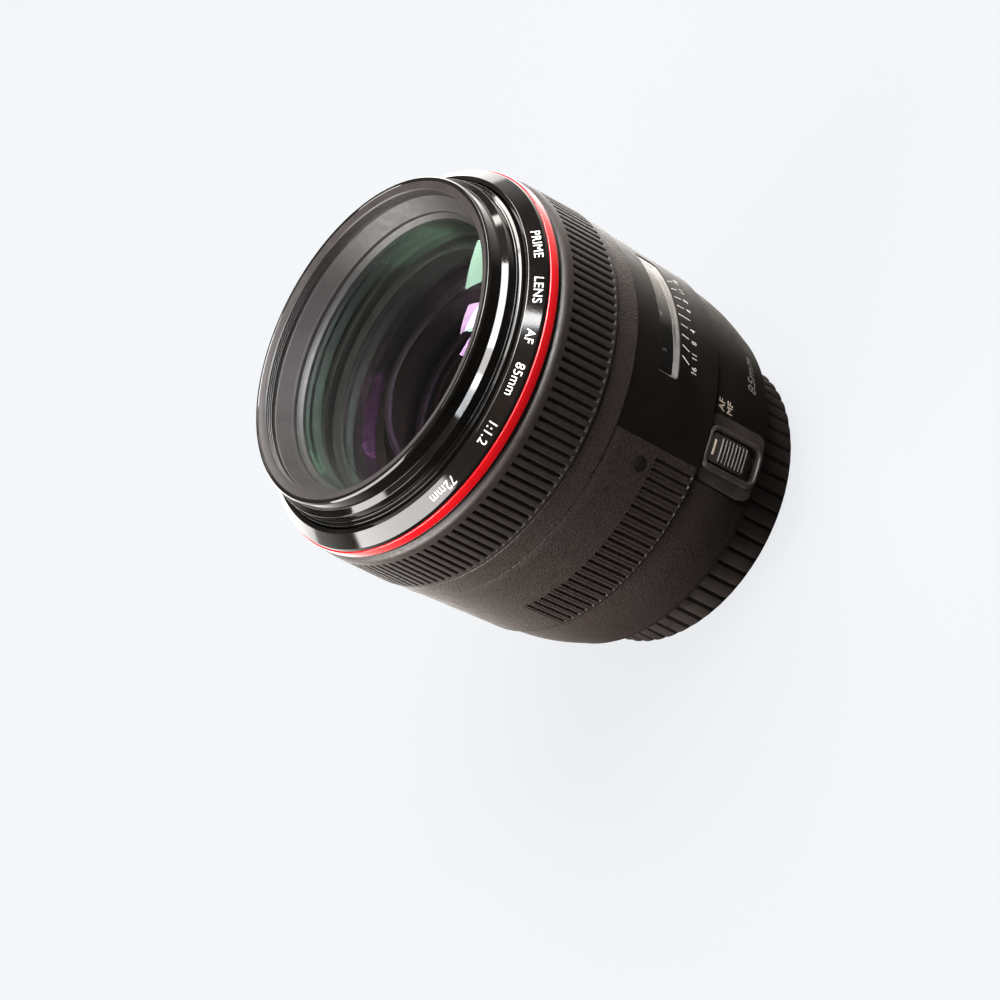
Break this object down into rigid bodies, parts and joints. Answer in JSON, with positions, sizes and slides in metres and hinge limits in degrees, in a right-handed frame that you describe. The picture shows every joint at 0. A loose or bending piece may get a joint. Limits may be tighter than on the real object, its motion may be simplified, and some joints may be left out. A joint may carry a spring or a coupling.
{
  "type": "camera lens",
  "caption": "Large-aperture autofocus prime lens on its fluted rear cap, with ribbed focus ring, distance window, focus cam, iris and focus mode switch.",
  "frame": {"origin": "middle of the rear cap's flat foot, where the capped lens stands", "axes": "+Z along the optical axis towards the subject; the top of the lens, with the distance window, faces -Y"},
  "size_m": [0.0914, 0.0914, 0.096],
  "materials": {
    "cap_plastic": "satin moulded black",
    "mount_metal": "bright machined bayonet",
    "steel": "plain machined",
    "black_screw": "blackened",
    "contact_gold": "gold flash",
    "black_moulding": "matt black",
    "gloss_black": "gloss black paint",
    "barrel_paint": "satin black paint",
    "grip_texture": "black crackle texture",
    "red_paint": "gloss red paint",
    "focus_rubber": "ribbed matt black rubber",
    "black_anodised": "black anodised",
    "baffle_grey": "matt dark grey-brown",
    "coated_glass": "multicoated, polished",
    "window_glass": "clear, polished",
    "scale_black": "matt black dial",
    "motor_metal": "lapped ring",
    "board_green": "solder mask",
    "blade_black": "matt black coated",
    "slider_plastic": "matt black"
  },
  "bodies": {
    "rear_cap": {"rear_cap": "cap_plastic"},
    "barrel": {"mount_ring": "mount_metal", "mount_screws": "steel", "contact_block": "black_moulding", "contact_pins": "contact_gold", "rear_baffle": "black_moulding", "rear_lens_ring": "black_anodised", "element_8": "coated_glass", "rear_casing": "barrel_paint", "switch_panel": "barrel_paint", "switch_contact": "black_moulding", "main_barrel": "barrel_paint", "grip_panel": "grip_texture", "body_screws": "black_screw", "window_bezel": "barrel_paint", "distance_window": "window_glass", "rear_band": "grip_texture", "focus_carrier": "black_anodised", "name_ring": "gloss_black", "red_ring": "red_paint", "focus_encoder": "black_moulding", "guide_sleeve": "black_anodised", "usm_stator": "motor_metal", "spring_washer": "steel", "thrust_balls": "steel", "ball_cage": "contact_gold", "circuit_board": "board_green"},
    "focus_ring": {"focus_rubber": "focus_rubber", "focus_sleeve": "black_anodised"},
    "cam": {"cam_sleeve": "black_anodised", "usm_rotor": "motor_metal", "distance_scale": "scale_black"},
    "front_group": {"filter_ring": "gloss_black", "front_baffle": "baffle_grey", "retaining_ring": "black_anodised", "front_cell": "black_anodised", "inner_cell": "black_anodised", "rear_cell": "black_anodised", "cam_followers": "contact_gold", "front_element": "coated_glass", "element_2": "coated_glass", "element_3": "coated_glass", "element_4": "coated_glass", "element_5": "coated_glass", "element_6": "coated_glass", "element_7": "coated_glass", "iris_base": "black_anodised", "iris_cover": "black_anodised", "iris_motor": "steel"},
    "iris_ring": {"iris_ring": "black_anodised"},
    "iris_pinion": {"iris_pinion": "contact_gold"},
    "switch": {"switch_slider": "slider_plastic"},
    "iris_blade_1": {"iris_blade_1": "blade_black"},
    "iris_blade_2": {"iris_blade_2": "blade_black"},
    "iris_blade_3": {"iris_blade_3": "blade_black"},
    "iris_blade_4": {"iris_blade_4": "blade_black"},
    "iris_blade_5": {"iris_blade_5": "blade_black"},
    "iris_blade_6": {"iris_blade_6": "blade_black"},
    "iris_blade_7": {"iris_blade_7": "blade_black"},
    "iris_blade_8": {"iris_blade_8": "blade_black"}
  },
  "joints": [
    {"name": "lens_lift_off", "type": "slide", "parent": "rear_cap", "child": "barrel", "axis": [0, 0, 1], "range_m": [0, 0.03]},
    {"name": "focus_ring_turn", "type": "hinge", "parent": "barrel", "child": "focus_ring", "pos_m": [0, 0, 0.073], "axis": [0, 0, 1], "continuous": true},
    {"name": "focus_cam_turn", "type": "hinge", "parent": "barrel", "child": "cam", "pos_m": [0, 0, 0.055], "axis": [0, 0, 1], "range_deg": [0, 100]},
    {"name": "front_group_extend", "type": "slide", "parent": "barrel", "child": "front_group", "axis": [0, 0, 1], "range_m": [0, 0.0093]},
    {"name": "iris_ring_turn", "type": "hinge", "parent": "front_group", "child": "iris_ring", "pos_m": [0, 0, 0.0454], "axis": [0, 0, 1], "range_deg": [0, 24]},
    {"name": "iris_blade_1_swing", "type": "hinge", "parent": "front_group", "child": "iris_blade_1", "pos_m": [0.0336, 0, 0.0475], "axis": [0, 0, 1], "range_deg": [0, 32]},
    {"name": "iris_blade_2_swing", "type": "hinge", "parent": "front_group", "child": "iris_blade_2", "pos_m": [0.02376, 0.02376, 0.0475], "axis": [0, 0, 1], "range_deg": [0, 32]},
    {"name": "iris_blade_3_swing", "type": "hinge", "parent": "front_group", "child": "iris_blade_3", "pos_m": [0, 0.0336, 0.0475], "axis": [0, 0, 1], "range_deg": [0, 32]},
    {"name": "iris_blade_4_swing", "type": "hinge", "parent": "front_group", "child": "iris_blade_4", "pos_m": [-0.02376, 0.02376, 0.0475], "axis": [0, 0, 1], "range_deg": [0, 32]},
    {"name": "iris_blade_5_swing", "type": "hinge", "parent": "front_group", "child": "iris_blade_5", "pos_m": [-0.0336, 0, 0.0475], "axis": [0, 0, 1], "range_deg": [0, 32]},
    {"name": "iris_blade_6_swing", "type": "hinge", "parent": "front_group", "child": "iris_blade_6", "pos_m": [-0.02376, -0.02376, 0.0475], "axis": [0, 0, 1], "range_deg": [0, 32]},
    {"name": "iris_blade_7_swing", "type": "hinge", "parent": "front_group", "child": "iris_blade_7", "pos_m": [0, -0.0336, 0.0475], "axis": [0, 0, 1], "range_deg": [0, 32]},
    {"name": "iris_blade_8_swing", "type": "hinge", "parent": "front_group", "child": "iris_blade_8", "pos_m": [0.02376, -0.02376, 0.0475], "axis": [0, 0, 1], "range_deg": [0, 32]},
    {"name": "iris_pinion_spin", "type": "hinge", "parent": "front_group", "child": "iris_pinion", "pos_m": [-0.02631, -0.00958, 0.0454], "axis": [0, 0, 1], "range_deg": [0, 304.1]},
    {"name": "focus_mode_switch", "type": "slide", "parent": "barrel", "child": "switch", "axis": [0, 0, -1], "range_m": [0, 0.0027]}
  ],
  "couplings": [
    {"joint": "front_group_extend", "follows": "focus_cam_turn", "m_per_rad": 0.0053285},
    {"joint": "iris_blade_1_swing", "follows": "iris_ring_turn", "ratio": 1.3333},
    {"joint": "iris_blade_2_swing", "follows": "iris_ring_turn", "ratio": 1.3333},
    {"joint": "iris_blade_3_swing", "follows": "iris_ring_turn", "ratio": 1.3333},
    {"joint": "iris_blade_4_swing", "follows": "iris_ring_turn", "ratio": 1.3333},
    {"joint": "iris_blade_5_swing", "follows": "iris_ring_turn", "ratio": 1.3333},
    {"joint": "iris_blade_6_swing", "follows": "iris_ring_turn", "ratio": 1.3333},
    {"joint": "iris_blade_7_swing", "follows": "iris_ring_turn", "ratio": 1.3333},
    {"joint": "iris_blade_8_swing", "follows": "iris_ring_turn", "ratio": 1.3333},
    {"joint": "iris_pinion_spin", "follows": "iris_ring_turn", "ratio": 12.667}
  ]
}
